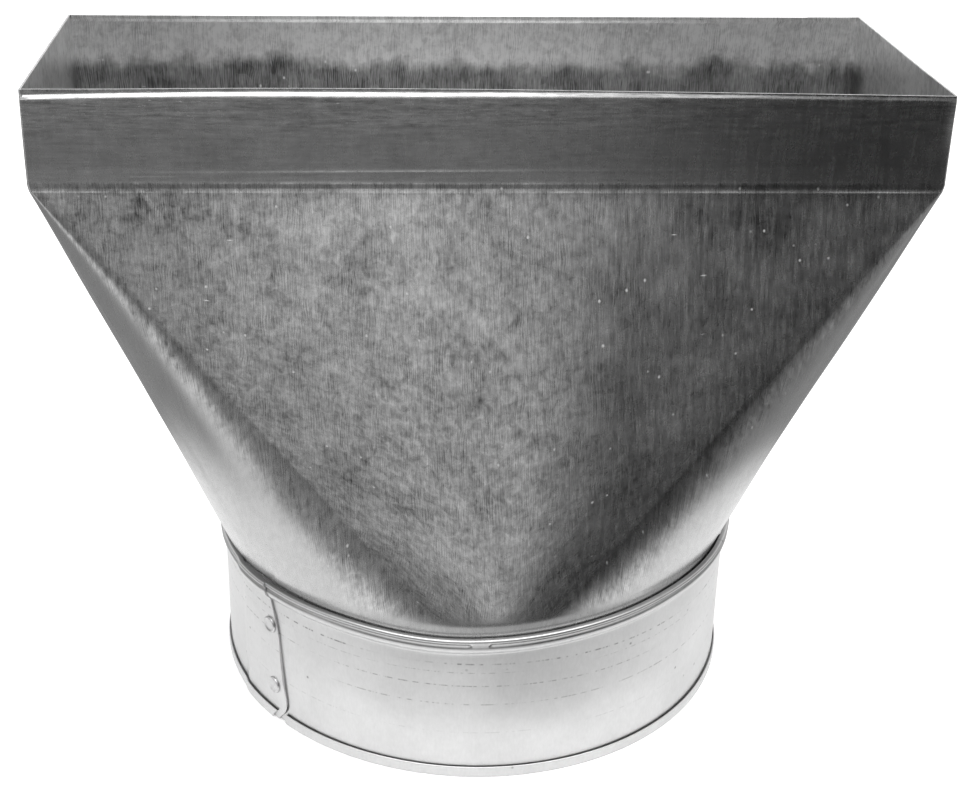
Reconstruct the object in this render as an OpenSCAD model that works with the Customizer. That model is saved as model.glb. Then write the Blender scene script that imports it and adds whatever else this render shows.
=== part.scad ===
// Straight stack boot: a galvanised sheet-steel fitting that takes a flat
// rectangular wall duct down to a round duct. Millimetres, +Z up.
// Origin: centre of the round end, on the face the fitting stands on.
// The broad front face looks toward -Y.

/* [Sheet] */
// Thickness of the body and collar sheet
sheet = 0.5; // [0.4:0.05:0.8]

/* [Rectangular end] */
// Outside width of the rectangular collar
rect_w = 236; // [200:1:260]
// Outside depth of the rectangular collar
rect_d = 86; // [76:1:104]
// Height of the straight rectangular wall, from the break line to the rim
rect_h = 25; // [18:0.5:40]
// Outside radius of the four upright corners
corner_r = 2; // [1.5:0.1:5]
// Height of the set-in lip along the rim
lip_h = 2; // [1:0.1:3]
// How far the lip leans inward
lip_in = 0.8; // [0:0.1:1.5]
// How much higher the lip stands at the front left corner
lip_rise = 1.8; // [0:0.1:3]
// Width of the lapped strips at the two back corners
lap_w = 16; // [8:1:20]

/* [Round end] */
// Inside diameter of the round collar
collar_id = 153; // [140:0.5:160]
// Height of the round collar, hem to ledge
collar_h = 46.9; // [38:0.1:60]
// Height of the turned-out hem at the bottom
hem_h = 3.5; // [2:0.1:6]
// How far the hem stands proud of the wall
hem_out = 0.8; // [0.5:0.05:1.2]
// Height of the rolled bead under the ledge
bead_h = 4.9; // [4:0.1:6.5]
// How far the bead stands proud of the wall
bead_out = 1.6; // [1.2:0.05:2.2]

/* [Transition] */
// Overall height of the fitting at the rim
overall_h = 186; // [170:1:200]
// Height of the plain neck that shows above the ledge at front and back
neck_show = 3.4; // [1:0.1:5]
// How far the narrow sides stand out over the ledge
shoulder = 0.9; // [0.4:0.1:1.5]
// Half angle of the round end met by the broad faces
face_half = 12; // [6:1:20]
// Half angle of the round end met by the narrow faces
side_half = 12; // [6:1:20]
// Depth of the slight hollow of the corner cones
cone_dish = 0.9; // [0:0.1:1.5]

/* [Collar seam] */
// Direction of the visible lap edge, from the front toward the right
seam_at = -50.3; // [-70:0.1:-30]
// Angle that the two ends of the collar strip overlap
seam_lap = 13; // [10:0.5:20]
// Diameter of the flat rivet heads
rivet_head = 5.2; // [4.6:0.1:6]
// Diameter of the rivet shanks
rivet_d = 3; // [2.4:0.1:3.4]
// Diameter of the flush rivet ends inside the collar
rivet_flush = 4.2; // [3.8:0.1:4.6]
// Height of the lower rivet
rivet_z1 = 11.5; // [9:0.5:14]
// Height of the upper rivet
rivet_z2 = 32.2; // [26:0.1:33]

/* [Hidden] */
eps = 0.05;

collar_ri = collar_id / 2;          // bore of the collar
collar_ro = collar_ri + sheet;      // outer face of the collar wall
neck_r = collar_ri - 0.02;          // the neck goes just inside the collar
z_break = overall_h - rect_h;       // bend between straight wall and faces
z_foot = collar_h - bead_h + 0.4;   // lower edge of the neck, inside the bead
z_lip = overall_h - lip_h;          // bend of the set-in lip

hw = rect_w / 2;
hd = rect_d / 2;
xw = hw - corner_r;                 // straight half lengths of the rectangle
yd = hd - corner_r;

// ---- stations round the body, front centre first, then to the right ----
// each one: [x, y, facing of the straight wall, place on the round end, zone]
// zones: 0 plain, 1 outer lap, 2 open corner gap, 3 fading lap, 4 inner tab
gap_w = 1.7;                        // open gap beside the raw edge
xf = [0, 0.26, 0.5, 0.7, 0.86];
n_c = 13;                           // steps in each corner cone

function spot(x, y, a, c, z = 0) = [x, y, a, c, z];
function corner_pt(i) = let (a = 90 * i / n_c)
    [xw + corner_r * sin(a), -yd - corner_r * cos(a), a,
     face_half + (90 - face_half - side_half) * i / n_c];

// right front quarter: broad face, corner, narrow face
q_front = [for (k = xf) spot(k * xw, -hd, 0, face_half * k)];
q_corner = [for (i = [0:n_c]) let (c = corner_pt(i)) spot(c[0], c[1], c[2], c[3])];
q_side = [for (k = [0.75, 0.4]) spot(hw, -k * yd, 90, 90 - side_half * k)];
quarter = concat(q_front, q_corner, q_side, [spot(hw, 0, 90, 90)]);
nq = len(quarter);

// right back quarter: narrow face, corner with the lapped seam, broad face
function flip_y(s, z = 0) = [s[0], -s[1], 180 - s[2], 180 - s[3], z];
function flip_x(s, z = 0) = [-s[0], s[1], -s[2], -s[3], z];
function on_back(x, z) = spot(x, hd, 180, 180 - face_half * x / xw, z);
function on_left(y, z) = spot(-hw, y, -90, -90 - side_half * y / yd, z);

right_back = concat(
    [for (i = [len(q_side) - 1:-1:0]) flip_y(q_side[i], 0)],
    [for (i = [n_c:-1:0]) flip_y(q_corner[i], i == n_c ? 3 : 2)],
    [on_back(xw - gap_w, 2), on_back(xw - gap_w - eps, 1),
     on_back(xw - lap_w * 0.6, 1), on_back(xw - lap_w, 1),
     on_back(xw - lap_w - eps, 0)],
    [for (i = [3:-1:1]) flip_y(q_front[i], 0)]);

left_back = concat(
    [for (i = [0:4]) flip_x(flip_y(q_front[i]), 0)],
    [for (i = [0:n_c]) flip_x(flip_y(q_corner[i]), i < n_c ? 0 : 4)],
    [on_left(yd - lap_w * 0.5, 4), on_left(yd - lap_w, 4),
     on_left(yd - lap_w - eps, 0), on_left(yd * 0.3, 0)],
    [on_left(0, 0)]);

left_front = concat(
    [for (i = [len(q_side) - 1:-1:0]) flip_x(q_side[i], 0)],
    [for (i = [n_c:-1:0]) flip_x(q_corner[i], 0)],
    [for (i = [4:-1:1]) flip_x(q_front[i], 0)]);

stations = concat(quarter, right_back, left_back, left_front);
ns = len(stations);

// ---- section of the sheet: [share of round, height, level kind] ----
// kinds: 0 neck, 1 flared face (height is a share), 2 straight wall, 4 rim
n_f = 9;                            // steps down the flared faces
faces_up = [for (i = [0:n_f]) [1 - i / n_f * 0.997, i / n_f, 1]];
section = concat(
    [[1, z_foot, 0], [1, collar_h, 0]],
    faces_up,
    [[0, z_break + 0.9, 2], [0, z_break + 2.2, 2], [0, z_lip - 0.6, 2],
     [0, z_lip, 2], [0, overall_h, 4]]);
nk = len(section);

// Bottom of the flared faces: high at front and back, on the ledge at the sides
function front_share(s) = pow(cos(s[3]), 2);
function z_face(s) = collar_h + 0.15 + neck_show * front_share(s);
function level_z(s, k) =
    k[2] == 1 ? z_face(s) + (z_break - 0.5 - z_face(s)) * k[1] :
    k[2] == 4 ? rim_z(s) : k[1];
function end_r(s, k) = neck_r + (k[2] == 1 ? shoulder * (1 - front_share(s)) : 0);

// Lip height follows the front left corner, which stands a little higher
function rim_z(s) = overall_h + lip_rise * max(0, min(1, 0.5 - s[0] / rect_w))
    * max(0, min(1, 0.5 - s[1] / rect_d));

// Outward and inward offsets of the sheet at station s, section step k
// The lip leans in along the broad walls and runs out to nothing at the corners
function lean(s, kind) = kind == 4 ? lip_in * abs(cos(s[2])) : 0;
function off_out(s, k) = let (kind = k[2])
    kind == 0 ? 0 :
    (s[4] == 1 || s[4] == 2 ? sheet * abs(cos(s[2])) * (k[0] > 0.9 ? 0.02 : 1) : 0)
    - lean(s, kind);
function off_in(s, k) = let (kind = k[2])
    s[4] == 2 && kind >= 2 ? -lean(s, kind) :
    s[4] == 4 && kind >= 2 && k[1] > z_break + 2 ? -2 * sheet - lean(s, kind) :
    -sheet - lean(s, kind);

// One point of the sheet
function dish(s, f) = let (d = sin(2 * s[3])) -cone_dish * d * d * sin(180 * f);
function at(s, k, off) =
    let (f = k[0], o = off + dish(s, f),
         rx = s[0] + o * sin(s[2]), ry = s[1] - o * cos(s[2]),
         r = end_r(s, k) + o, cx = r * sin(s[3]), cy = -r * cos(s[3]))
    [rx * (1 - f) + cx * f, ry * (1 - f) + cy * f, level_z(s, k)];

body_points = [for (s = stations) each concat(
    [for (k = [0:nk - 1]) at(s, section[k], off_out(s, section[k]))],
    [for (k = [nk - 1:-1:0]) at(s, section[k], off_in(s, section[k]))])];
m = 2 * nk;
body_faces = [for (i = [0:ns - 1], k = [0:m - 1])
    let (j = (i + 1) % ns, l = (k + 1) % m)
    each [[i * m + k, i * m + l, j * m + l], [i * m + k, j * m + l, j * m + k]]];

// ---- section of the round collar, outside then inside ----
r0 = collar_ri;
r1 = collar_ro;
rb = collar_ro + bead_out;
zt = collar_h;
zb = collar_h - bead_h;
collar_section = [
    [r0, 0.35], [r0 + 0.25, 0.08], [r0 + 0.55, 0],
    [r1 + hem_out - 0.35, 0], [r1 + hem_out - 0.08, 0.15], [r1 + hem_out, 0.5],
    [r1 + hem_out, hem_h - 0.35], [r1 + hem_out - 0.15, hem_h - 0.05],
    [r1 + 0.1, hem_h],  [r1, hem_h + 0.1],
    [r1, zb - 0.2], [r1 + 0.25, zb + 0.1], [rb - 0.35, zb + 0.75],
    [rb - 0.05, zb + 1.3], [rb, zb + 2.2], [rb - 0.2, zb + 2.75],
    [rb - 0.45, zb + 3.15], [rb - 0.45, zb + 3.35], [rb - 0.15, zb + 3.7],
    [rb, zb + 4.1], [rb - 0.1, zt - 0.35], [rb - 0.4, zt - 0.1], [rb - 0.7, zt],
    [r0, zt], [r0, zt - sheet],
    [rb - sheet - 0.25, zt - sheet], [rb - sheet, zb + 3.9],
    [rb - sheet - 0.4, zb + 3.25], [rb - sheet, zb + 2.4],
    [rb - sheet, zb + 1.6], [r0 + 0.1, zb + 0.15], [r0, zb - 0.2]];

// Radial placement: local +Z looks outward at angle a from the front
module facing(a, z) {
    rotate([0, 0, a]) translate([0, 0, z]) rotate([90, 0, 0]) children();
}

module boot_body() {
    color([0.66, 0.67, 0.68])
    polyhedron(points = body_points, faces = body_faces, convexity = 8);
}

module collar_ring() {
    rotate_extrude($fn = 180) polygon(collar_section);
}

// The outer end of the strip lies over the inner end for seam_lap degrees
module collar_lap() {
    rotate([0, 0, seam_at - 90 - seam_lap])
    rotate_extrude(angle = seam_lap, $fn = 180)
    translate([r1 - eps, hem_h + 0.35]) square([sheet + eps, zb - hem_h - 0.8]);
}

module round_collar() {
    color([0.8, 0.81, 0.82])
    difference() {
        union() {
            collar_ring();
            collar_lap();
        }
        // joint line where the inner end of the strip stops
        rotate([0, 0, seam_at - seam_lap - 90])
        translate([r0 - 1, -0.2, hem_h])
        cube([1 + sheet * 0.6, 0.4, zb - hem_h - 0.5]);
        // rivet holes through both thicknesses, countersunk inside
        for (z = [rivet_z1, rivet_z2]) facing(seam_at - 2.9, z) {
            translate([0, 0, r0 - 3]) cylinder(d = rivet_d + 0.06, h = 8, $fn = 48);
            translate([0, 0, r0 - 0.1])
            cylinder(d1 = rivet_flush + 0.36, d2 = rivet_d + 0.06, h = 0.6, $fn = 48);
        }
    }
}

// Flat-headed rivet: dished outer head, shank through the lap, inner end
// spread flush with the bore so that a duct slides past it
module rivet() {
    rs = r1 + sheet + 0.01;         // outer face of the lap
    ri = r0 + 0.02;                 // flush end, level with the bore
    rotate_extrude($fn = 64) polygon([
        [0, ri], [rivet_flush / 2, ri], [rivet_d / 2, ri + 0.46], [rivet_d / 2, rs],
        [rivet_head / 2, rs], [rivet_head / 2, rs + 0.35], [rivet_head / 2 - 0.3, rs + 0.65],
        [rivet_head / 2 - 0.7, rs + 0.62], [rivet_head / 2 - 1.1, rs + 0.4], [0, rs + 0.4]]);
}

module seam_rivets() {
    color([0.6, 0.6, 0.61])
    for (z = [rivet_z1, rivet_z2]) facing(seam_at - 2.9, z) rivet();
}

boot_body();
round_collar();
seam_rivets();
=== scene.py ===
"""Looks of the stack boot: formed galvanised body, beaded round collar and two rivets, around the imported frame."""
import bpy, math
import numpy as np
from mathutils import Matrix


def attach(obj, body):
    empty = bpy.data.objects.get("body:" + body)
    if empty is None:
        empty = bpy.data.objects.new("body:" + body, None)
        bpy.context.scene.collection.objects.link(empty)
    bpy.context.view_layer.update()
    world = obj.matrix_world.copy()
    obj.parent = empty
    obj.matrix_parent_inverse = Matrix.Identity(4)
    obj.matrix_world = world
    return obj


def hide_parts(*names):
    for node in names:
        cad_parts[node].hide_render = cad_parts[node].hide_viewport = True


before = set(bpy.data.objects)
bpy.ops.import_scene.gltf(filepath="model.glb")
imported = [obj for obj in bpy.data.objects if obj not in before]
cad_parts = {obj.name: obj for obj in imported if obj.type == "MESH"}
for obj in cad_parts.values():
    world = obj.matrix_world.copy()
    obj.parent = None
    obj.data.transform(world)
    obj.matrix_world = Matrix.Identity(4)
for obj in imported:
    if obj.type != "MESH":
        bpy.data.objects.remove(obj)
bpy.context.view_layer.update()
scene = bpy.context.scene
scene.view_settings.view_transform = "Standard"
scene.view_settings.look = "None"
scene.view_settings.exposure = 0.0
scene.view_settings.gamma = 1.0

# ------------------------------------------------------------------ camera
F_PX, WIDE = 1613.0, 972.0
EYE = (-39.0, -434.4, 298.1)                      # mm, row frame
RX, RY, RZ = (math.radians(a) for a in (26.51, 1.53, -5.47))


def camera_rows(rx, ry, rz):
    cz, sz, cr, sr = math.cos(rz), math.sin(rz), math.cos(ry), math.sin(ry)
    turn = np.array([[cz, sz, 0], [-sz, cz, 0], [0, 0, 1]])
    ahead = np.array([0, math.cos(rx), -math.sin(rx)])
    up = np.array([0, math.sin(rx), math.cos(rx)])
    base = np.array([[1, 0, 0], -up, ahead])
    roll = np.array([[cr, -sr, 0], [sr, cr, 0], [0, 0, 1]])
    return roll @ base @ turn


rows = camera_rows(RX, RY, RZ)
cam_data = bpy.data.cameras.new("Camera")
cam = bpy.data.objects.new("Camera", cam_data)
scene.collection.objects.link(cam)
cam_data.sensor_fit = "HORIZONTAL"
cam_data.sensor_width = 36.0
cam_data.lens = F_PX / WIDE * 36.0
cam_data.clip_start, cam_data.clip_end = 0.01, 50.0
axes = np.stack([rows[0], -rows[1], -rows[2]], 1)
cam.matrix_world = Matrix([list(axes[i]) + [EYE[i] / 1000.0] for i in range(3)] + [[0, 0, 0, 1]])
scene.camera = cam

# ------------------------------------------------------------------ helpers
SH = 0.5                                          # sheet thickness, mm


def ss(a, b, x):
    t = np.clip((np.asarray(x, float) - a) / (b - a), 0, 1)
    return t * t * (3 - 2 * t)


def table(x, xs, ys):
    """Smooth curve through the points (xs, ys)."""
    xs, ys = np.asarray(xs, float), np.asarray(ys, float)
    x = np.clip(np.asarray(x, float), xs[0], xs[-1])
    i = np.clip(np.searchsorted(xs, x, side="right") - 1, 0, len(xs) - 2)
    m = np.gradient(ys, xs)
    h = xs[i + 1] - xs[i]
    t = (x - xs[i]) / h
    return ((2 * t**3 - 3 * t**2 + 1) * ys[i] + (t**3 - 2 * t**2 + t) * h * m[i]
            + (-2 * t**3 + 3 * t**2) * ys[i + 1] + (t**3 - t**2) * h * m[i + 1])


def waves(x, y, seed, lengths, amps, per=5):
    """Soft seeded unevenness: a few plane waves at each wavelength (mm)."""
    rng = np.random.RandomState(seed)
    out = np.zeros(np.broadcast(x, y).shape)
    for length, amp in zip(lengths, amps):
        for _ in range(per):
            a, p, k = rng.uniform(0, math.pi), rng.uniform(0, 6.283), rng.uniform(0.75, 1.3)
            out += amp / per**0.5 * np.sin(6.283 * k / length * (x * math.cos(a) + y * math.sin(a)) + p)
    return out


def near_line(x, y, p, q, width, ends=1.5):
    """1 on the segment p-q, falling off across it and at its ends."""
    p, q = np.array(p, float), np.array(q, float)
    d = q - p
    n = np.hypot(*d)
    d /= n
    along = (x - p[0]) * d[0] + (y - p[1]) * d[1]
    across = -(x - p[0]) * d[1] + (y - p[1]) * d[0]
    return np.exp(-(across / width) ** 2) * ss(-ends, ends, along) * ss(-ends, ends, n - along)


def wrap180(c):
    return (np.asarray(c, float) + 180.0) % 360.0 - 180.0


def tilt(c):
    """Height of the rolled joint above its even level, round the ring: the joint isn't quite square."""
    return table(wrap180(c), [-180, -120, -75, -58, -48, -34, -9, 4, 17, 28, 42, 58, 80, 110, 150, 180],
                 [0.1, -0.4, -0.9, -0.7, -0.3, 0.05, -0.45, 0.25, 1.2, 1.8, 2.4, 2.1, 1.5, 0.8, 0.3, 0.1])


def grid_normals(p):
    du, dv = np.empty_like(p), np.empty_like(p)
    du[1:-1], du[0], du[-1] = p[2:] - p[:-2], p[1] - p[0], p[-1] - p[-2]
    dv[:, 1:-1], dv[:, 0], dv[:, -1] = p[:, 2:] - p[:, :-2], p[:, 1] - p[:, 0], p[:, -1] - p[:, -2]
    n = np.cross(du, dv)
    return n / np.maximum(np.linalg.norm(n, axis=2, keepdims=True), 1e-12)


def fillet_path(v, d, counts, bends):
    """v (N, M, 3) corner points of each station, d (N, M-2) fillet reach, straight counts and bend counts.
    Returns points (N, L, 3) and, for each level, (segment number, share along that segment)."""
    n, m = v.shape[:2]
    seg = v[:, 1:] - v[:, :-1]
    ln = np.maximum(np.linalg.norm(seg, axis=2, keepdims=True), 1e-9)
    unit = seg / ln
    out, tag = [], []
    for s in range(m - 1):
        a = v[:, s] + (unit[:, s] * d[:, s - 1, None] if s > 0 else 0)
        b = v[:, s + 1] - (unit[:, s] * d[:, s, None] if s < m - 2 else 0)
        shares = counts[s]
        shares = np.linspace(0, 1, shares) if np.isscalar(shares) else np.asarray(shares, float)
        if s > 0:
            shares = shares[shares > 0] if bends[s - 1] else shares
        for t in shares:
            out.append(a + (b - a) * t)
            tag.append((s, t))
        if s < m - 2:
            c = v[:, s + 1]
            e = c + unit[:, s + 1] * d[:, s, None]
            k = bends[s]
            for j in range(1, k + 1):
                t = j / k
                out.append(b * (1 - t) ** 2 + c * 2 * t * (1 - t) + e * t * t)
                tag.append((s + 0.5, t))
    return np.stack(out, 1), tag


def sheet_object(name, outer, inner, sheet_co, smooth, mats, sharp=38):
    """A closed sheet from two grids of points (mm) of the same size, open at both ends of the strip."""
    n, m = outer.shape[:2]
    pts = np.concatenate([outer.reshape(-1, 3), inner.reshape(-1, 3)]) / 1000.0
    o = np.arange(n * m).reshape(n, m)
    q = o + n * m
    A = np.stack([o[:-1, :-1], o[1:, :-1], o[1:, 1:], o[:-1, 1:]], -1).reshape(-1, 4)
    B = np.stack([q[:-1, :-1], q[:-1, 1:], q[1:, 1:], q[1:, :-1]], -1).reshape(-1, 4)
    top = np.stack([o[:-1, -1], o[1:, -1], q[1:, -1], q[:-1, -1]], -1)
    foot = np.stack([o[1:, 0], o[:-1, 0], q[:-1, 0], q[1:, 0]], -1)
    start = np.stack([o[0, 1:], q[0, 1:], q[0, :-1], o[0, :-1]], -1)
    end = np.stack([o[-1, :-1], q[-1, :-1], q[-1, 1:], o[-1, 1:]], -1)
    faces = np.concatenate([A, B, top, foot, start, end])
    me = bpy.data.meshes.new(name)
    me.from_pydata(pts.tolist(), [], faces.tolist())
    co = np.concatenate([sheet_co[0].reshape(-1, 3), sheet_co[1].reshape(-1, 3)])
    at = me.attributes.new("sheet_co", "FLOAT_VECTOR", "POINT")
    at.data.foreach_set("vector", co.astype(np.float32).ravel())
    at = me.attributes.new("sheet_smooth", "FLOAT", "POINT")
    at.data.foreach_set("value", np.concatenate([smooth.ravel(), smooth.ravel()]).astype(np.float32))
    me.polygons.foreach_set("use_smooth", np.ones(len(me.polygons), bool))
    me.update()
    me.set_sharp_from_angle(angle=math.radians(sharp))
    ob = bpy.data.objects.new(name, me)
    scene.collection.objects.link(ob)
    for mt in mats:
        me.materials.append(mt)
    return ob


# ------------------------------------------------------------------ body sheet
HW, HD, RC = 118.0, 43.0, 0.7
XW, YD = HW - RC, HD - RC
NR = 76.48                                        # outer radius of the neck
FH = 12.0                                         # half angle met by the flat faces
LAPO = 0.58                                       # one layer over the other


def stations():
    st = []                                       # x, y, nx, ny, c, inner layer at the foot

    def add(x, y, nx, ny, c, inn=0.0):
        st.append((x, y, nx, ny, c, inn))

    for x in np.linspace(114.3, -XW, 60):
        add(x, HD, 0, 1, 180 - FH * x / XW, float(ss(70, 96, x)))

    def corner(sx, sy, a0, c0, n, lift=0.0, ends=(True, True)):
        for k, t in enumerate(np.linspace(0, 1, n)):
            if (k == 0 and not ends[0]) or (k == n - 1 and not ends[1]):
                continue
            a = math.radians(a0 + 90 * t)
            # facing angle measured from the front toward the right
            nx, ny = math.sin(a), -math.cos(a)
            add(sx * XW + RC * nx, sy * YD + RC * ny + lift * t, nx, ny, c0 + (90 - 2 * FH) * t)

    corner(-1, 1, 180, 180 + FH, 34, ends=(False, True))
    for y in np.linspace(YD, -YD, 17)[1:-1]:
        add(-HW, y, -1, 0, 270 - FH * y / YD)
    corner(-1, -1, 270, 270 + FH, 44)
    xs = np.unique(np.round(np.concatenate([np.linspace(-XW, XW, 84), np.arange(-104, -78, 0.85)]), 3))
    keep = [xs[0]]
    for x in xs[1:]:
        if x - keep[-1] > 0.5:
            keep.append(x)
    for x in keep[1:-1]:
        add(x, -HD, 0, -1, 360 + FH * x / XW)
    corner(1, -1, 360, 360 + FH, 44)
    for y in np.linspace(-YD, YD, 17)[1:-1]:
        add(HW, y, 1, 0, 450 + FH * y / YD)
    corner(1, 1, 450, 450 + FH, 34, lift=LAPO)
    for x in np.linspace(XW, XW - 16, 8)[1:]:
        add(x, HD + LAPO, 0, 1, 540 - FH * x / XW)
    return np.array(st)


S = stations()
sx, sy, snx, sny, sc, sinn = S.T
cd = wrap180(sc)
cosc, sinc = np.cos(np.radians(sc)), np.sin(np.radians(sc))
broad = np.abs(sny)                               # 1 on the broad walls, 0 on the narrow ones
front = np.clip(-sny, 0, 1)
dz = tilt(sc)
z_break = 161.65 - 0.0059 * sx                    # the bend runs slightly down to the right
rim_front = table(sx, [-118, -100, -65, -25, 25, 71, 118], [187.5, 187.5, 187.7, 187.6, 187.1, 186.3, 185.6])
rim_back = 185.8 + 0.0 * sx
ky = np.clip(0.5 + sy / (2 * HD), 0, 1)           # 0 at the front, 1 at the back
z_rim = rim_front * (1 - ky) + rim_back * ky
bend_front = table(sx, [-118, -100, -69, -25, 25, 71, 118], [185.1, 185.5, 185.9, 185.8, 185.7, 185.2, 184.5])
z_bend = bend_front * (1 - ky) + (z_rim - 1.8) * ky
jog = table(sx, [-118, -60, 0, 35, 70, 118], [0.85, 0.9, 0.85, 0.6, 0.38, 0.3]) * broad
shoulder = (0.2 + 1.15 * np.clip(-sinc, 0, 1)) * (1 - cosc**2)


def ring(r, z):
    return np.stack([r * sinc, -r * cosc, z + 0 * sinc], -1)


def rect(inset, z):
    return np.stack([sx - snx * inset, sy - sny * inset, z + 0 * sx], -1)


inward = LAPO * sinn
# the rim draws in a little at the right back corner and at both front corners
back_in = 0.75 * np.clip(snx, 0, 1) * ky + 0.35 * np.abs(snx) * (1 - ky)
V = np.stack([
    ring(NR - inward, 42.5 + 0 * sc),
    ring(NR - inward, 46.85 + dz),
    ring(NR - inward + shoulder, 47.3 + 3.2 * cosc**2 + dz),
    rect(0.0, z_break),
    rect(back_in, z_bend),
    rect(jog + back_in, z_bend + 1.0),
    rect(jog + back_in, np.maximum(z_rim, z_bend + 1.35)),
], 1)
reach = np.stack([0 * sc + 0.25, 0 * sc + 0.7, 0 * sc + 1.5, 0 * sc + 0.32, 0 * sc + 0.22], 1)
wall = np.unique(np.concatenate([np.linspace(0, 1, 15), np.linspace(0.02, 0.26, 13)]))
outer, tags = fillet_path(V, reach, [3, 3, 58, wall, 2, 2], [2, 4, 12, 5, 4])
seg = np.array([t[0] for t in tags])
shr = np.array([t[1] for t in tags])
L = outer.shape[1]
on_flare = np.where(seg == 2, 1.0, 0.0)
f_round = np.where(seg == 2, 1 - shr, 0.0)[None, :]
# corner cones are slightly hollow
dish = -0.75 * (np.sin(2 * np.radians(sc))[:, None] ** 2) * np.sin(np.pi * f_round) * on_flare
n0 = grid_normals(outer)
X, Y, Z = outer[..., 0], outer[..., 1], outer[..., 2]
along = outer[..., 0] * (np.abs(sny)[:, None]) + outer[..., 1] * (1 - np.abs(sny)[:, None])
# oil-canning of the faces and the walls
side_tag = np.where(sny < -0.5, 0, np.where(sny > 0.5, 1, 2))[:, None]
soft = waves(along + 400 * side_tag, Z, 7, (95, 52, 30), (0.20, 0.09, 0.035))
fade = np.where(seg == 2, np.sin(np.pi * np.clip(f_round, 0, 1)) ** 0.6, 0.0)
wallfade = np.where(seg == 3, np.sin(np.pi * shr) ** 0.5, 0.0)[None, :]
shape = dish + soft * fade * 1.0 + soft * wallfade * 0.35
fr = front[:, None]
zb = z_break[:, None]
shape += fr * 0.07 * np.exp(-((Z - zb - 1.25) / 0.30) ** 2)           # light line above the bend
shape -= fr * 0.06 * np.exp(-((Z - zb - 0.1) / 0.35) ** 2)            # pressed valley
shape += fr * 0.09 * np.exp(-((Z - zb + 0.95) / 0.28) ** 2) * (0.75 + 0.25 * waves(X, Z, 5, (9,), (1,)))
shape += fr * 0.07 * np.exp(-((Z - 166.35 - 0.002 * X) / 0.30) ** 2) * ss(-112, -100, X) * (1 - 0.75 * ss(-10, 60, X))
shape += fr * 0.12 * near_line(X, Z, (-93.1, 165.2), (-85.4, 154.8), 0.55, 2.0)
shape += fr * 0.08 * near_line(X, Z, (-93.1, 165.2), (-80.9, 165.2), 0.3, 1.0)
shape += fr * 0.05 * near_line(X, Z, (-102.5, 160.5), (-97.8, 155.0), 0.6, 1.5)
outer = outer + n0 * shape[..., None]
n1 = grid_normals(outer)
inner = outer - SH * n1
# sheet coordinates: distance round from the front centre, height from the bend, and what surface it is
i0 = int(np.argmin(np.abs(sc - 360)))
step = np.linalg.norm(np.diff(outer, axis=0), axis=2)
u = np.concatenate([np.zeros((1, L)), np.cumsum(step, 0)])
u = u - u[i0][None, :]
stepv = np.linalg.norm(np.diff(outer, axis=1), axis=2)
t = np.concatenate([np.zeros((len(S), 1)), np.cumsum(stepv, 1)], 1)
jb = int(np.where(seg == 2.5)[0][6])
t = t - t[:, jb][:, None]
band_flag = np.broadcast_to(np.where((seg > 2.5) & (seg <= 4.5), 1.0, 0.0)[None, :], t.shape)
co_out = np.stack([u / 1000, t / 1000, band_flag], -1)
inner_flag = np.broadcast_to(np.where(seg > 2.5, 2.0, 3.0)[None, :], t.shape)
co_in = np.stack([u / 1000, t / 1000, inner_flag], -1)
# how smooth the zinc is: the corner cones and the neck were drawn smooth, the faces keep their grain
c_from_face = np.minimum(np.abs(cd), 180 - np.abs(cd))[:, None]
smooth_out = ss(20, 33, c_from_face) * (1 - 0.45 * ss(74, 82, c_from_face)) * np.where(seg < 2.5, 1.0, 0.0)
smooth_out = np.maximum(smooth_out, np.where(seg < 2, 1.0, 0.0))


# ------------------------------------------------------------------ materials
def new_material(name):
    mat = bpy.data.materials.new(name)
    mat.use_nodes = True
    nt = mat.node_tree
    nt.nodes.clear()
    out = nt.nodes.new("ShaderNodeOutputMaterial")
    bsdf = nt.nodes.new("ShaderNodeBsdfPrincipled")
    nt.links.new(bsdf.outputs["BSDF"], out.inputs["Surface"])
    return mat, nt, bsdf


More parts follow.
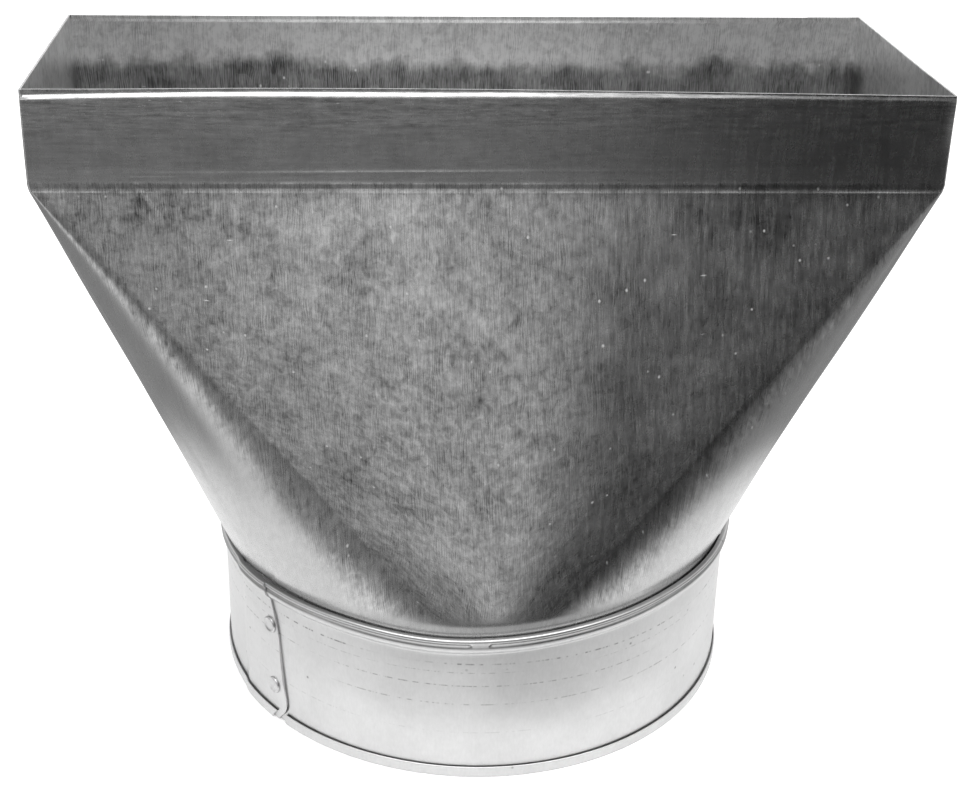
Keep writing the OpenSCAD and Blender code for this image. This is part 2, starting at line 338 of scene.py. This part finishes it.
class Kit:
    """Small helper for chaining shader nodes."""

    def __init__(self, nt):
        self.nt = nt

    def link(self, value, socket):
        if isinstance(value, (int, float)):
            socket.default_value = value
        elif isinstance(value, (tuple, list)):
            socket.default_value = value
        else:
            self.nt.links.new(value, socket)

    def math(self, op, a, b=None, c=None, clamp=False):
        n = self.nt.nodes.new("ShaderNodeMath")
        n.operation = op
        n.use_clamp = clamp
        for s, v in zip(n.inputs, (a, b, c)):
            if v is not None:
                self.link(v, s)
        return n.outputs[0]

    def add(self, a, b):
        return self.math("ADD", a, b)

    def sub(self, a, b):
        return self.math("SUBTRACT", a, b)

    def mul(self, a, b):
        return self.math("MULTIPLY", a, b)

    def ramp(self, v, lo, hi, to_lo=0.0, to_hi=1.0, smooth=True):
        n = self.nt.nodes.new("ShaderNodeMapRange")
        n.interpolation_type = "SMOOTHSTEP" if smooth else "LINEAR"
        n.clamp = True
        self.link(v, n.inputs["Value"])
        for k, x in (("From Min", lo), ("From Max", hi), ("To Min", to_lo), ("To Max", to_hi)):
            n.inputs[k].default_value = x
        return n.outputs["Result"]

    def scaled(self, vec, scale, offset=(0, 0, 0), rot=(0, 0, 0)):
        n = self.nt.nodes.new("ShaderNodeMapping")
        self.nt.links.new(vec, n.inputs["Vector"])
        n.inputs["Scale"].default_value = scale
        n.inputs["Location"].default_value = offset
        n.inputs["Rotation"].default_value = rot
        return n.outputs["Vector"]

    def noise(self, vec, detail=2.0, rough=0.5, scale=1.0, lac=2.0, dist=0.0):
        n = self.nt.nodes.new("ShaderNodeTexNoise")
        self.nt.links.new(vec, n.inputs["Vector"])
        n.inputs["Scale"].default_value = scale
        n.inputs["Detail"].default_value = detail
        n.inputs["Roughness"].default_value = rough
        n.inputs["Lacunarity"].default_value = lac
        n.inputs["Distortion"].default_value = dist
        return n.outputs["Fac"]

    def cells(self, vec, scale=1.0, random=1.0, feature="F1"):
        n = self.nt.nodes.new("ShaderNodeTexVoronoi")
        n.feature = feature
        self.nt.links.new(vec, n.inputs["Vector"])
        n.inputs["Scale"].default_value = scale
        n.inputs["Randomness"].default_value = random
        return n.outputs["Distance"], n.outputs["Color"]

    def split(self, vec):
        n = self.nt.nodes.new("ShaderNodeSeparateXYZ")
        self.nt.links.new(vec, n.inputs[0])
        return n.outputs

    def split_colour(self, colour):
        n = self.nt.nodes.new("ShaderNodeSeparateColor")
        self.nt.links.new(colour, n.inputs[0])
        return n.outputs[0]

    def mix(self, fac, a, b):
        n = self.nt.nodes.new("ShaderNodeMix")
        n.data_type = "FLOAT"
        self.link(fac, n.inputs[0])
        self.link(a, n.inputs[2])
        self.link(b, n.inputs[3])
        return n.outputs[0]

    def grey(self, v):
        n = self.nt.nodes.new("ShaderNodeCombineColor")
        for s in n.inputs[:3]:
            self.link(v, s)
        return n.outputs[0]

    def bump(self, height, strength, distance, normal=None):
        n = self.nt.nodes.new("ShaderNodeBump")
        n.inputs["Strength"].default_value = strength
        n.inputs["Distance"].default_value = distance
        self.nt.links.new(height, n.inputs["Height"])
        if normal is not None:
            self.nt.links.new(normal, n.inputs["Normal"])
        return n.outputs["Normal"]

    def flat(self, a, b):
        n = self.nt.nodes.new("ShaderNodeCombineXYZ")
        self.link(a, n.inputs[0])
        self.link(b, n.inputs[1])
        return n.outputs[0]

    def spot(self, vec, at, size):
        """Soft round or oval spot, 1 in the middle: at and size in the units of vec."""
        s = self.scaled(vec, tuple(1.0 / q if q else 0.0 for q in size),
                        tuple(-a / q if q else 0.0 for a, q in zip(at, size)))
        n = self.nt.nodes.new("ShaderNodeVectorMath")
        n.operation = "LENGTH"
        self.nt.links.new(s, n.inputs[0])
        return self.ramp(n.outputs["Value"], 1.0, 0.0)


def body_material():
    mat, nt, bsdf = new_material("galvanised_sheet")
    k = Kit(nt)
    a = nt.nodes.new("ShaderNodeAttribute")
    a.attribute_name = "sheet_co"
    vec = a.outputs["Vector"]
    uu, tt, flag = k.split(vec)
    inside = k.ramp(flag, 1.4, 1.6)
    band = k.mul(k.ramp(flag, 0.4, 0.6), k.sub(1.0, inside))
    # mill grain: fine upright lines, about 0.6 mm apart, that come and go in patches
    sway = k.noise(k.scaled(vec, (160, 70, 0)), 2.0, 0.5)
    patch = k.ramp(k.noise(k.scaled(vec, (170, 90, 0), (4, 4, 0)), 2.5, 0.6), 0.38, 0.68)
    lines = k.math("SINE", k.add(k.mul(uu, 10900.0), k.mul(sway, 34.0)))
    fine = k.noise(k.scaled(vec, (2100, 190, 0)), 2.0, 0.65)
    mid = k.noise(k.scaled(vec, (800, 60, 0), (3, 1, 0)), 3.0, 0.6)
    grain = k.add(k.mul(k.mul(lines, patch), 0.24), k.add(k.mul(k.sub(fine, 0.5), 1.5), k.mul(k.sub(mid, 0.5), 0.6)))
    # the wiped outer wall: level streaks, strongest in its upper third
    upper = k.ramp(tt, 0.011, 0.020, 0.35, 1.0)
    hfine = k.noise(k.scaled(vec, (260, 2600, 0), (7, 0, 0)), 3.0, 0.62)
    hmid = k.noise(k.scaled(vec, (75, 900, 0), (1, 5, 0)), 4.0, 0.65)
    hgrain = k.add(k.mul(k.sub(hfine, 0.5), 1.6), k.mul(k.sub(hmid, 0.5), 1.8))
    hgrain = k.mul(hgrain, upper)
    grain = k.mix(band, grain, hgrain)
    # mottled zinc: small blotches, spangle cells and wide clouds
    blot = k.noise(k.scaled(vec, (420, 380, 0), (2, 9, 0)), 5.0, 0.68, dist=0.4)
    cloud = k.noise(k.scaled(vec, (75, 66, 0), (5, 5, 0)), 4.0, 0.6)
    d, colour = k.cells(k.scaled(vec, (330, 290, 0)))
    cell = k.split(colour)[0]
    mott = k.add(k.mul(k.sub(blot, 0.5), 2.0), k.add(k.mul(k.sub(cloud, 0.5), 1.5), k.mul(k.sub(cell, 0.5), 0.22)))
    mott = k.mul(mott, k.mix(band, 1.0, 0.35))
    v = k.add(grain, mott)
    # smooth where the sheet was worked hardest, on the cones and beside the collar
    sm = nt.nodes.new("ShaderNodeAttribute")
    sm.attribute_name = "sheet_smooth"
    calm = k.sub(1.0, k.mul(sm.outputs["Fac"], 0.86))
    v = k.mul(v, calm)
    # tiny bright specks and short oblique scuffs
    d1, c1 = k.cells(k.scaled(vec, (560, 400, 0), (3, 3, 0)))
    speck = k.mul(k.ramp(d1, 0.26, 0.08), k.ramp(k.split(c1)[1], 0.965, 0.972))
    d2, c2 = k.cells(k.scaled(vec, (130, 480, 0), (1, 2, 0), (0, 0, math.radians(-52))))
    scuff = k.mul(k.ramp(d2, 0.13, 0.04), k.ramp(k.split(c2)[0], 0.965, 0.97))
    marks = k.mul(k.mul(k.math("MAXIMUM", speck, scuff), k.sub(1.0, band)), calm)
    dash = k.noise(k.scaled(vec, (420, 3600, 0), (2, 2, 0)), 2.0, 0.6)
    dashes = k.mul(k.ramp(dash, 0.66, 0.73), k.mul(band, k.ramp(tt, 0.0135, 0.0205)))
    dashes = k.mul(dashes, k.ramp(uu, 0.06, -0.05, 0.25, 1.0))
    marks = k.math("MAXIMUM", marks, dashes)
    base = k.math("MULTIPLY_ADD", v, 0.42, 0.50)
    # painted light and shade: soft lighter and darker spots set where the faces reflect light or dark zones, u from
    # the front centre and t from the bend, in metres
    for at, size, amount in (((-0.086, -0.006), (0.034, 0.022), -0.11), ((-0.045, -0.010), (0.016, 0.008), 0.10),
                             ((-0.012, -0.030), (0.050, 0.018), 0.05), ((-0.012, -0.105), (0.030, 0.022), 0.10),
                             ((-0.0325, -0.090), (0.020, 0.014), -0.12), ((0.033, -0.088), (0.024, 0.020), -0.10),
                             ((0.074, -0.010), (0.034, 0.024), -0.16), ((0.062, -0.045), (0.030, 0.030), -0.06)):
        painted_reflection_spot = k.spot(k.flat(uu, tt), (at[0], at[1], 0), (size[0], size[1], 1))
        base = k.add(base, k.mul(k.mul(painted_reflection_spot, k.sub(1.0, band)), amount))
    base = k.add(base, k.mul(k.mul(band, k.ramp(tt, 0.0062, 0.0042)), 0.07))
    # painted light: every inner surface gets a lighter base colour, standing in for the light reflected round inside
    # the opening
    base = k.add(base, k.mul(inside, 0.30))
    # painted shade low on the inner wall, where the opening lies deep in shade, with a ragged upper edge
    ragged = k.add(tt, k.mul(k.sub(cloud, 0.5), 0.012))
    painted_recess_shade = k.mul(k.mul(k.ramp(ragged, 0.0125, 0.0065), k.ramp(ragged, -0.03, -0.01)), k.mul(inside, k.ramp(k.math("ABSOLUTE", uu), 0.190, 0.20)))
    painted_recess_shade = k.mul(painted_recess_shade, k.math("MULTIPLY_ADD", blot, 0.9, 0.25))
    base = k.sub(base, k.mul(painted_recess_shade, 0.72))
    base = k.math("MINIMUM", k.math("MAXIMUM", base, 0.10), 0.92)
    base = k.mix(k.mul(marks, 0.85), base, 0.98)
    nt.links.new(k.grey(base), bsdf.inputs["Base Color"])
    bsdf.inputs["Metallic"].default_value = 1.0
    r = k.math("MULTIPLY_ADD", k.sub(mid, 0.5), 0.14, 0.26)
    r = k.add(r, k.mul(k.sub(blot, 0.5), -0.16))
    r = k.add(r, k.mul(marks, 0.3))
    r = k.add(r, k.mul(inside, 0.10))
    nt.links.new(k.math("MINIMUM", k.math("MAXIMUM", r, 0.18), 0.7), bsdf.inputs["Roughness"])
    h = k.add(k.mul(fine, 0.6), k.mul(blot, 0.6))
    n = k.bump(h, 0.22, 0.00006)
    nt.links.new(n, bsdf.inputs["Normal"])
    return mat


def collar_material():
    mat, nt, bsdf = new_material("galvanised_strip")
    k = Kit(nt)
    a = nt.nodes.new("ShaderNodeAttribute")
    a.attribute_name = "sheet_co"
    vec = a.outputs["Vector"]
    uu, tt, flag = k.split(vec)
    fine = k.noise(k.scaled(vec, (1500, 500, 0)), 3.0, 0.6)
    soft = k.noise(k.scaled(vec, (60, 55, 0), (4, 2, 0)), 3.0, 0.5)
    blot = k.noise(k.scaled(vec, (300, 280, 0), (1, 6, 0)), 3.5, 0.6)
    # faint broken lines left by the rolls
    rolls = 0.0
    for z, w, amount, seed in ((0.0381, 0.00022, 0.34, 1.0), (0.0352, 0.00016, 0.18, 2.0), (0.0308, 0.00018, 0.26, 3.0), (0.0246, 0.00018, 0.22, 4.0), (0.0150, 0.0002, 0.10, 5.0)):
        off = k.math("ABSOLUTE", k.sub(tt, z))
        line = k.ramp(off, w * 1.6, w * 0.3)
        dots = k.ramp(k.noise(k.scaled(vec, (520, 30, 0), (seed, seed, 0)), 2.0, 0.7), 0.44, 0.60)
        gone = k.ramp(k.noise(k.scaled(vec, (24, 0, 0), (seed * 3, 0, 0)), 1.0, 0.5), 0.36, 0.56)
        rolls = k.add(rolls, k.mul(k.mul(k.mul(line, dots), gone), amount))
    d1, c1 = k.cells(k.scaled(vec, (330, 330, 0), (3, 3, 0)))
    speck = k.mul(k.ramp(d1, 0.20, 0.07), k.ramp(k.split(c1)[1], 0.94, 0.96))
    v = k.add(k.mul(k.sub(fine, 0.5), 0.10), k.mul(k.sub(soft, 0.5), 0.12))
    v = k.add(v, k.mul(k.sub(blot, 0.5), 0.10))
    base = k.math("ADD", v, 0.57, clamp=True)
    base = k.sub(base, rolls)
    base = k.sub(base, k.mul(speck, 0.30))
    base = k.math("MAXIMUM", base, 0.2)
    nt.links.new(k.grey(base), bsdf.inputs["Base Color"])
    bsdf.inputs["Metallic"].default_value = 1.0
    r = k.math("MULTIPLY_ADD", k.sub(blot, 0.5), 0.12, 0.33)
    nt.links.new(r, bsdf.inputs["Roughness"])
    n = k.bump(k.add(fine, k.mul(blot, 0.6)), 0.15, 0.00005)
    nt.links.new(n, bsdf.inputs["Normal"])
    return mat


def rivet_material():
    mat, nt, bsdf = new_material("plated_rivet")
    k = Kit(nt)
    tc = nt.nodes.new("ShaderNodeTexCoord")
    vec = tc.outputs["Object"]
    blot = k.noise(k.scaled(vec, (900, 900, 900)), 3.0, 0.6)
    fine = k.noise(k.scaled(vec, (4200, 4200, 4200)), 2.0, 0.6)
    v = k.add(k.mul(k.sub(blot, 0.5), 0.30), k.mul(k.sub(fine, 0.5), 0.15))
    base = k.math("ADD", v, 0.56, clamp=True)
    nt.links.new(k.grey(base), bsdf.inputs["Base Color"])
    bsdf.inputs["Metallic"].default_value = 1.0
    nt.links.new(k.math("MULTIPLY_ADD", blot, 0.15, 0.25), bsdf.inputs["Roughness"])
    nt.links.new(k.bump(k.add(blot, fine), 0.25, 0.00006), bsdf.inputs["Normal"])
    return mat


M_BODY, M_COLLAR, M_RIVET = body_material(), collar_material(), rivet_material()

body = sheet_object("boot_sheet", outer, inner, (co_out, co_in), smooth_out, [M_BODY])

# ------------------------------------------------------------------ round collar
R0, R1 = 76.5, 77.0
SEAM = -50.3
LAP = 13.0
C0, C1 = SEAM - LAP, SEAM + 360.0                 # inner end, outer end of the strip


def collar_cs():
    c = list(np.arange(C0, C1 + 0.01, 1.5))
    for a in (-52.2, -49.1):                      # ends of the hem either side of the seam
        for b in (a, a + 0.06):
            c += [b, b + 360.0]
    c += list(np.arange(-6.4, -0.4, 0.3))         # where the groove of the bead stops and starts
    c += list(np.arange(C1 - LAP - 6, C1, 0.5)) + [C1 - 0.25, C1]
    c = np.unique(np.round([x for x in c if C0 <= x <= C1], 3))
    keep = [c[0]]
    for x in c[1:]:
        if x - keep[-1] >= 0.055:
            keep.append(x)
    keep[-1] = C1
    return np.array(keep)


cc = collar_cs()
ncc = len(cc)
hem_on = ((cc > -49.07) & (cc < 360 - 52.17)).astype(float)
over = ss(C1 - LAP - 3.5, C1 - LAP - 0.2, cc) * 0.56      # outer end lies over the inner end
groove = 1 - ss(-5.6, -4.9, cc) * (1 - ss(-1.8, -1.1, cc))
cdz = tilt(cc)


def col(r, z):
    """One level of the strip as (r, z) arrays over all stations."""
    return np.stack([np.broadcast_to(r, (ncc,)), np.broadcast_to(z, (ncc,))], -1).astype(float)


def mixh(hem, plain):
    return col(hem[0] * hem_on + plain[0] * (1 - hem_on), hem[1] * hem_on + plain[1] * (1 - hem_on))


out_levels = [
    mixh((76.60, 0.22), (76.52, 0.20)), mixh((76.80, 0.06), (76.58, 0.10)), mixh((77.15, 0.0), (76.75, 0.05)),
    mixh((77.50, 0.05), (76.92, 0.10)), mixh((77.70, 0.20), (76.98, 0.20)), mixh((77.78, 0.45), (77.0, 0.40)),
    mixh((77.80, 1.3), (77.0, 1.3)), mixh((77.82, 2.3), (77.0, 1.9)), mixh((77.79, 3.1), (77.0, 2.2)),
    mixh((77.70, 3.38), (77.0, 2.4)), mixh((77.55, 3.46), (77.0, 2.6)), mixh((77.40, 3.38), (77.0, 2.8)),
    mixh((77.34, 3.15), (77.0, 2.9)), mixh((77.30, 2.5), (77.0, 3.0)), mixh((77.18, 2.35), (77.0, 3.1)),
    mixh((77.05, 2.5), (77.0, 3.2)), mixh((77.0, 3.1), (77.0, 3.4)),
]
walls = [4.2, 6, 9, 12, 15, 18, 21, 24, 27, 30, 33, 36, 38.5, 40.4, 41.2]
out_levels += [col(77.0, z) for z in walls]
bead = [(77.02, 41.55), (77.12, 41.85), (77.38, 42.15), (77.75, 42.5), (78.08, 42.95), (78.30, 43.4),
        (78.42, 43.9), (78.44, 44.35), (78.36, 44.75), (78.16, 45.05), (77.98, 45.22), (77.92, 45.38),
        (78.00, 45.54), (78.22, 45.70), (78.44, 45.90), (78.54, 46.15), (78.55, 46.42), (78.46, 46.68),
        (78.28, 46.84), (78.0, 46.90), (77.6, 46.90), (77.2, 46.88), (76.95, 46.84)]
fill = {9: 78.40, 10: 78.40, 11: 78.40, 12: 78.42, 13: 78.46}
for i, (r, z) in enumerate(bead):
    rr = r * groove + fill.get(i, r) * (1 - groove)
    out_levels.append(col(rr, z))
in_levels = [col(76.5, 0.35)] * 1
under = [(76.80, 46.60), (76.95, 46.42), (77.3, 46.38), (77.8, 46.36), (78.02, 46.20), (78.05, 45.95),
         (77.85, 45.72), (77.62, 45.50), (77.58, 45.36), (77.64, 45.2), (77.86, 44.85), (77.94, 44.35),
         (77.9, 43.85), (77.7, 43.35), (77.35, 42.9), (76.95, 42.5), (76.65, 42.2), (76.53, 41.9)]


def place(levels, shift=0.0):
    rz = np.stack(levels, 1)                      # (ncc, L, 2)
    r, z = rz[..., 0], rz[..., 1]
    w = ss(16, 41, z)
    zz = z + cdz[:, None] * w
    off = over[:, None]
    # soft dents of the wall
    cw = wrap180(cc)[:, None] * 1.3439            # mm round the wall
    mid = ss(5, 9, z) * (1 - ss(37, 41, z))
    dent = waves(cw, z, 11, (60, 34), (0.05, 0.02))
    dent += -0.10 * near_line(cw, z, (16.0, 22.0), (-10.0, 3.5), 4.2, 5.0)
    dent += -0.07 * near_line(cw, z, (-64.0, 26.0), (-50.0, 4.0), 3.2, 4.0)
    r = r + off + dent * mid
    a = np.radians(cc)[:, None]
    return np.stack([r * np.sin(a), -r * np.cos(a), zz], -1)


co = place(out_levels)
ci_levels = [col(76.5, 0.45)] + [col(76.5, z) for z in (1.5, 3, 4.2, 6, 9, 12, 15, 18, 21, 24, 27, 30, 33, 36, 38.5, 40.4, 41.3)]
ci_levels += [col(r, z) for r, z in reversed(under)]
ci = place(ci_levels)


def strip_object(name, po, pi, mats, sharp=40):
    """Closed strip from an outer grid and an inner grid that may have different level counts."""
    n, mo = po.shape[:2]
    mi = pi.shape[1]
    loop = np.concatenate([po, pi[:, ::-1]], 1)   # one closed section for each station
    m = mo + mi
    idx = np.arange(n * m).reshape(n, m)
    nxt = np.roll(idx, -1, axis=1)
    quads = np.stack([idx[:-1], idx[1:], nxt[1:], nxt[:-1]], -1).reshape(-1, 4)
    faces = quads.tolist() + [list(map(int, idx[0])), list(map(int, idx[-1][::-1]))]
    me = bpy.data.meshes.new(name)
    me.from_pydata((loop.reshape(-1, 3) / 1000.0).tolist(), [], faces)
    ang = np.radians(cc)[:, None] * 77.0 / 1000.0
    tz = loop[..., 2] / 1000.0
    at = me.attributes.new("sheet_co", "FLOAT_VECTOR", "POINT")
    flag = np.concatenate([np.ones((n, mo)), np.zeros((n, mi))], 1)
    cov = np.stack([np.broadcast_to(ang, tz.shape) + 0.9 * (1 - flag), tz, flag], -1)
    at.data.foreach_set("vector", cov.astype(np.float32).ravel())
    me.polygons.foreach_set("use_smooth", np.ones(len(me.polygons), bool))
    me.update()
    me.set_sharp_from_angle(angle=math.radians(sharp))
    ob = bpy.data.objects.new(name, me)
    scene.collection.objects.link(ob)
    for mt in mats:
        me.materials.append(mt)
    return ob


# the raw outer end leans, with its lower corner cut off
edge_z = [0, 1.2, 3.6, 15, 22, 30, 35.5, 40, 46, 48]
edge_c = [-51.6, -51.0, -49.4, -49.7, -50.2, -50.5, -51.5, -52.6, -53.6, -53.6]
for g in (co, ci):
    z = g[..., 2]
    want = table(z, edge_z, edge_c) - SEAM        # degrees from the straight end
    w = ss(C1 - 6.0, C1, cc)[:, None]
    turn = np.radians(want * w)
    x, y = g[..., 0].copy(), g[..., 1].copy()
    g[..., 0] = x * np.cos(turn) - y * np.sin(turn)
    g[..., 1] = x * np.sin(turn) + y * np.cos(turn)
collar = strip_object("collar_strip", co, ci, [M_COLLAR])


# ------------------------------------------------------------------ rivets
def rivets():
    pts, faces = [], []
    rs = R1 + 0.56
    prof = [(0.0, 0.30), (0.5, 0.29), (1.0, 0.28), (1.4, 0.31), (1.75, 0.40), (2.0, 0.52), (2.2, 0.58),
            (2.38, 0.56), (2.5, 0.46), (2.58, 0.28), (2.6, 0.08), (2.58, 0.0), (1.5, 0.0), (1.5, -0.58), (2.1, -1.03), (0.0, -1.03)]
    for z0, c0 in ((11.5, -52.7), (32.2, -53.4)):
        a = math.radians(c0)
        out = np.array([math.sin(a), -math.cos(a), 0])
        side = np.array([math.cos(a), math.sin(a), 0])
        up = np.array([0, 0, 1.0])
        base = out * rs + up * z0
        n = 48
        start = len(pts)
        rings = []
        for r, h in prof:
            if r == 0:
                rings.append([len(pts)])
                pts.append(base + out * h)
                continue
            row = []
            for j in range(n):
                b = 2 * math.pi * j / n
                wob = 1 + 0.02 * math.sin(2 * b + z0) + 0.012 * math.sin(3 * b + 1.3 * z0)
                rr = r * (wob if r > 1.6 and h >= 0 else 1)
                row.append(len(pts))
                pts.append(base + side * rr * math.cos(b) + up * rr * math.sin(b) + out * h)
            rings.append(row)
        for p, q in zip(rings, rings[1:]):
            for j in range(n):
                k = (j + 1) % n
                if len(p) == 1:
                    faces.append([p[0], q[j], q[k]])
                elif len(q) == 1:
                    faces.append([p[j], q[0], p[k]])
                else:
                    faces.append([p[j], q[j], q[k], p[k]])
    me = bpy.data.meshes.new("seam_rivet_pair")
    me.from_pydata((np.array(pts) / 1000.0).tolist(), [], faces)
    me.polygons.foreach_set("use_smooth", np.ones(len(me.polygons), bool))
    me.update()
    me.set_sharp_from_angle(angle=math.radians(50))
    ob = bpy.data.objects.new("seam_rivet_pair", me)
    scene.collection.objects.link(ob)
    me.materials.append(M_RIVET)
    return ob


rivet_pair = rivets()

for piece, node, slot in ((body, "boot_body", "galvanised_body"), (collar, "round_collar", "galvanised_collar"), (rivet_pair, "seam_rivets", "rivet_steel")):
    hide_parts(node)
    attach(piece, "root")


# ------------------------------------------------------------------ studio
def plane(name, corners, mat):
    me = bpy.data.meshes.new(name)
    me.from_pydata(corners, [], [list(range(len(corners)))])
    me.materials.append(mat)
    ob = bpy.data.objects.new(name, me)
    scene.collection.objects.link(ob)
    return ob


floor_mat, nt, bsdf = new_material("studio_floor")
bsdf.inputs["Base Color"].default_value = (0.93, 0.93, 0.93, 1)
bsdf.inputs["Roughness"].default_value = 0.9
bsdf.inputs["Emission Color"].default_value = (1, 1, 1, 1)
bsdf.inputs["Emission Strength"].default_value = 0.3
floor = plane("studio_floor", [(-6, -6, 0), (6, -6, 0), (6, 6, 0), (-6, 6, 0)], floor_mat)


def glossy_only(ob):
    ob.visible_camera = ob.visible_diffuse = ob.visible_shadow = False
    ob.visible_transmission = ob.visible_volume_scatter = False


def stops(k, value, lo, hi, points):
    """Smooth curve of a shader value through a few (place, level) stops."""
    n = k.nt.nodes.new("ShaderNodeValToRGB")
    k.link(k.ramp(value, lo, hi, smooth=False), n.inputs["Fac"])
    r = n.color_ramp
    r.interpolation = "EASE"
    r.elements[0].position, r.elements[1].position = 0.0, 1.0
    for x, _ in points[1:-1]:
        r.elements.new((x - lo) / (hi - lo))
    for e, (_, y) in zip(r.elements, points):
        e.color = (y, y, y, 1)
    return k.split_colour(n.outputs["Color"])


def card_nodes(name):
    mat = bpy.data.materials.new(name)
    mat.use_nodes = True
    nt = mat.node_tree
    nt.nodes.clear()
    out = nt.nodes.new("ShaderNodeOutputMaterial")
    em = nt.nodes.new("ShaderNodeEmission")
    nt.links.new(em.outputs[0], out.inputs["Surface"])
    tc = nt.nodes.new("ShaderNodeTexCoord")
    k = Kit(nt)
    x, y, z = k.split(tc.outputs["Object"])
    az = k.mul(k.math("ARCTAN2", x, k.mul(y, -1.0)), 57.2958)
    r = k.math("SQRT", k.add(k.mul(x, x), k.mul(y, y)))
    return mat, k, em, az, r, z


def ring_mesh(name, rings, n, mat):
    pts, faces = [], []
    for r, z in rings:
        for j in range(n):
            a = 2 * math.pi * j / n
            pts.append((r * math.sin(a), -r * math.cos(a), z))
    for i in range(len(rings) - 1):
        for j in range(n):
            q = (j + 1) % n
            faces.append([i * n + j, i * n + q, (i + 1) * n + q, (i + 1) * n + j])
    me = bpy.data.meshes.new(name)
    me.from_pydata(pts, [], faces)
    me.materials.append(mat)
    ob = bpy.data.objects.new(name, me)
    scene.collection.objects.link(ob)
    glossy_only(ob)
    return ob


ROOM = [(-60, 0.3), (-20, 0.24), (-10, 0.32), (-3, 0.56), (2, 0.78), (5, 0.74), (8.5, 0.30), (11.5, 0.03), (17, 0.0), (23, 0.0), (32, 0.12), (60, 0.3)]
# only reflections see these: the white sweep near the object, dark floor further out, dim room beyond
mat, k, em, az, r, z = card_nodes("flag_floor")
near = stops(k, r, 0.10, 0.26, [(0.10, 1.0), (0.128, 1.0), (0.178, 0.0), (0.26, 0.0)])
around = stops(k, az, -180, 180, [(-180, 0.3), (-110, 0.36), (-75, 0.36), (-66, 0.9), (-58, 0.9), (-48, 0.28), (-20, 0.22), (8, 0.20), (22, 0.02), (40, 0.05), (70, 0.3), (110, 0.36), (180, 0.3)])
front_dim = stops(k, az, -40, 60, [(-40, 1.22), (-15, 1.15), (12, 0.85), (32, 1.05), (60, 1.22)])
beyond = k.ramp(r, 0.75, 1.6)
far = stops(k, az, -60, 60, ROOM)
k.link(k.mix(near, k.mix(beyond, around, far), front_dim), em.inputs["Strength"])
ring_mesh("flag_floor", [(0.10, 0.0012), (0.165, 0.0012), (0.215, 0.0012), (0.5, 0.0012), (2.6, 0.0012)], 96, mat)

mat, k, em, az, r, z = card_nodes("flag_room")
room = stops(k, az, -60, 60, ROOM)
behind = k.ramp(k.math("ABSOLUTE", az), 100, 140)
k.link(k.mix(behind, room, 1.0), em.inputs["Strength"])
ring_mesh("flag_room", [(2.5, 0.0), (2.5, 1.15)], 96, mat)

world = bpy.data.worlds.new("studio")
scene.world = world
world.use_nodes = True
bg = world.node_tree.nodes["Background"]
bg.inputs["Color"].default_value = (1, 1, 1, 1)
bg.inputs["Strength"].default_value = 1.02


def area(name, at, to, size, power):
    data = bpy.data.lights.new(name, "AREA")
    data.shape = "RECTANGLE"
    data.size, data.size_y = size
    data.energy = power
    ob = bpy.data.objects.new(name, data)
    scene.collection.objects.link(ob)
    ob.location = at
    d = np.array(to, float) - np.array(at, float)
    from mathutils import Vector
    ob.rotation_mode = "QUATERNION"
    ob.rotation_quaternion = Vector(d).to_track_quat("-Z", "Y")
    return ob


area("softbox_top", (0.0, -0.35, 1.7), (0, 0, 0.1), (1.6, 1.2), 16)
